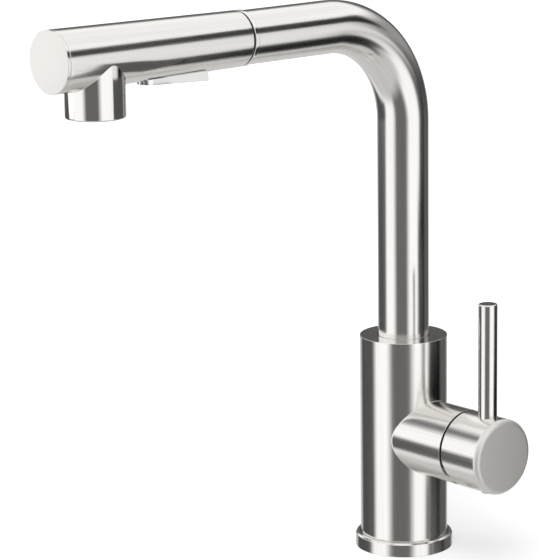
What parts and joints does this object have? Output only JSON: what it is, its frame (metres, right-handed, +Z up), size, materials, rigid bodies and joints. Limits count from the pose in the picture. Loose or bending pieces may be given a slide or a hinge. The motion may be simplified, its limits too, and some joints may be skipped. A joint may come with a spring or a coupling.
{
  "type": "pull-out kitchen faucet",
  "caption": "Single-lever kitchen mixer with an L-shaped swivel spout, a pull-out spray head with a stream selector rocker, and a side lever on a round column.",
  "frame": {"origin": "on the column's axis in the plane of the deck, under the centre of the deck flange", "axes": "+Z up along the column, spout tip towards -Y, side lever towards +X"},
  "size_m": [0.1085, 0.273, 0.3234],
  "materials": {
    "brushed_stainless": "fine brushed, lines round each tube",
    "polished_steel": "bright satin",
    "hard_steel": "machined",
    "brass": "machined",
    "white_nylon": "moulded",
    "ceramic": "lapped alumina",
    "black_plastic": "satin",
    "grey_plastic": "satin",
    "plug_plastic": "light grey",
    "rubber": "matt",
    "hose_braid": "grey nylon braid"
  },
  "bodies": {
    "base": {"deck_flange": "brushed_stainless", "deck_gasket": "rubber", "body_shell": "brushed_stainless", "valve_housing": "brushed_stainless", "valve_block": "brass", "cartridge_seal": "rubber", "cartridge_body": "white_nylon", "fixed_disc": "ceramic", "cartridge_nut": "brass", "bonnet": "black_plastic", "spout_collar": "brass", "thrust_washer": "white_nylon"},
    "mixer": {"stem_carrier": "white_nylon", "stem_pin": "hard_steel"},
    "mixing_disc": {"disc_driver": "white_nylon", "moving_disc": "ceramic"},
    "handle": {"handle_cap": "brushed_stainless", "handle_lever": "brushed_stainless", "valve_stem": "hard_steel", "set_screw": "hard_steel", "screw_plug": "plug_plastic"},
    "spout": {"spout_tube": "brushed_stainless", "mouth_ring": "polished_steel", "spout_foot": "brass", "swivel_bushes": "white_nylon", "swivel_seal": "rubber", "snap_ring": "hard_steel", "pullout_hose": "hose_braid"},
    "spray_head": {"head_shell": "brushed_stainless", "head_cap": "brushed_stainless", "nozzle_sleeve": "brushed_stainless", "head_core": "white_nylon", "spray_body": "white_nylon", "spray_plate": "grey_plastic", "spray_nubs": "rubber", "aerator": "grey_plastic", "docking_collar": "black_plastic", "check_valve": "white_nylon", "hose_nut": "brass", "rocker_pin": "hard_steel"},
    "selector": {"rocker": "polished_steel"},
    "diverter": {"diverter_plunger": "white_nylon"}
  },
  "joints": [
    {"name": "spout_swivel", "type": "hinge", "parent": "base", "child": "spout", "pos_m": [0, 0, 0.11], "axis": [0, 0, 1], "range_deg": [-180, 180]},
    {"name": "head_pull", "type": "slide", "parent": "spout", "child": "spray_head", "axis": [0, -1, 0], "range_m": [0, 0.45]},
    {"name": "selector_tip", "type": "hinge", "parent": "spray_head", "child": "selector", "pos_m": [0, -0.168, 0.2957], "axis": [1, 0, 0], "range_deg": [0, 6]},
    {"name": "diverter_lift", "type": "slide", "parent": "spray_head", "child": "diverter", "axis": [0, 0, 1], "range_m": [0, 0.0012]},
    {"name": "mix_turn", "type": "hinge", "parent": "base", "child": "mixer", "pos_m": [0.043, 0, 0.0682], "axis": [1, 0, 0], "range_deg": [-45, 45]},
    {"name": "lever_lift", "type": "hinge", "parent": "mixer", "child": "handle", "pos_m": [0.043, 0, 0.0682], "axis": [0, 1, 0], "range_deg": [0, 14]},
    {"name": "disc_shift", "type": "slide", "parent": "mixer", "child": "mixing_disc", "axis": [0, 0, 1], "range_m": [0, 0.002]}
  ],
  "couplings": [
    {"joint": "diverter_lift", "follows": "selector_tip", "m_per_rad": 0.011},
    {"joint": "disc_shift", "follows": "lever_lift", "m_per_rad": 0.008}
  ]
}
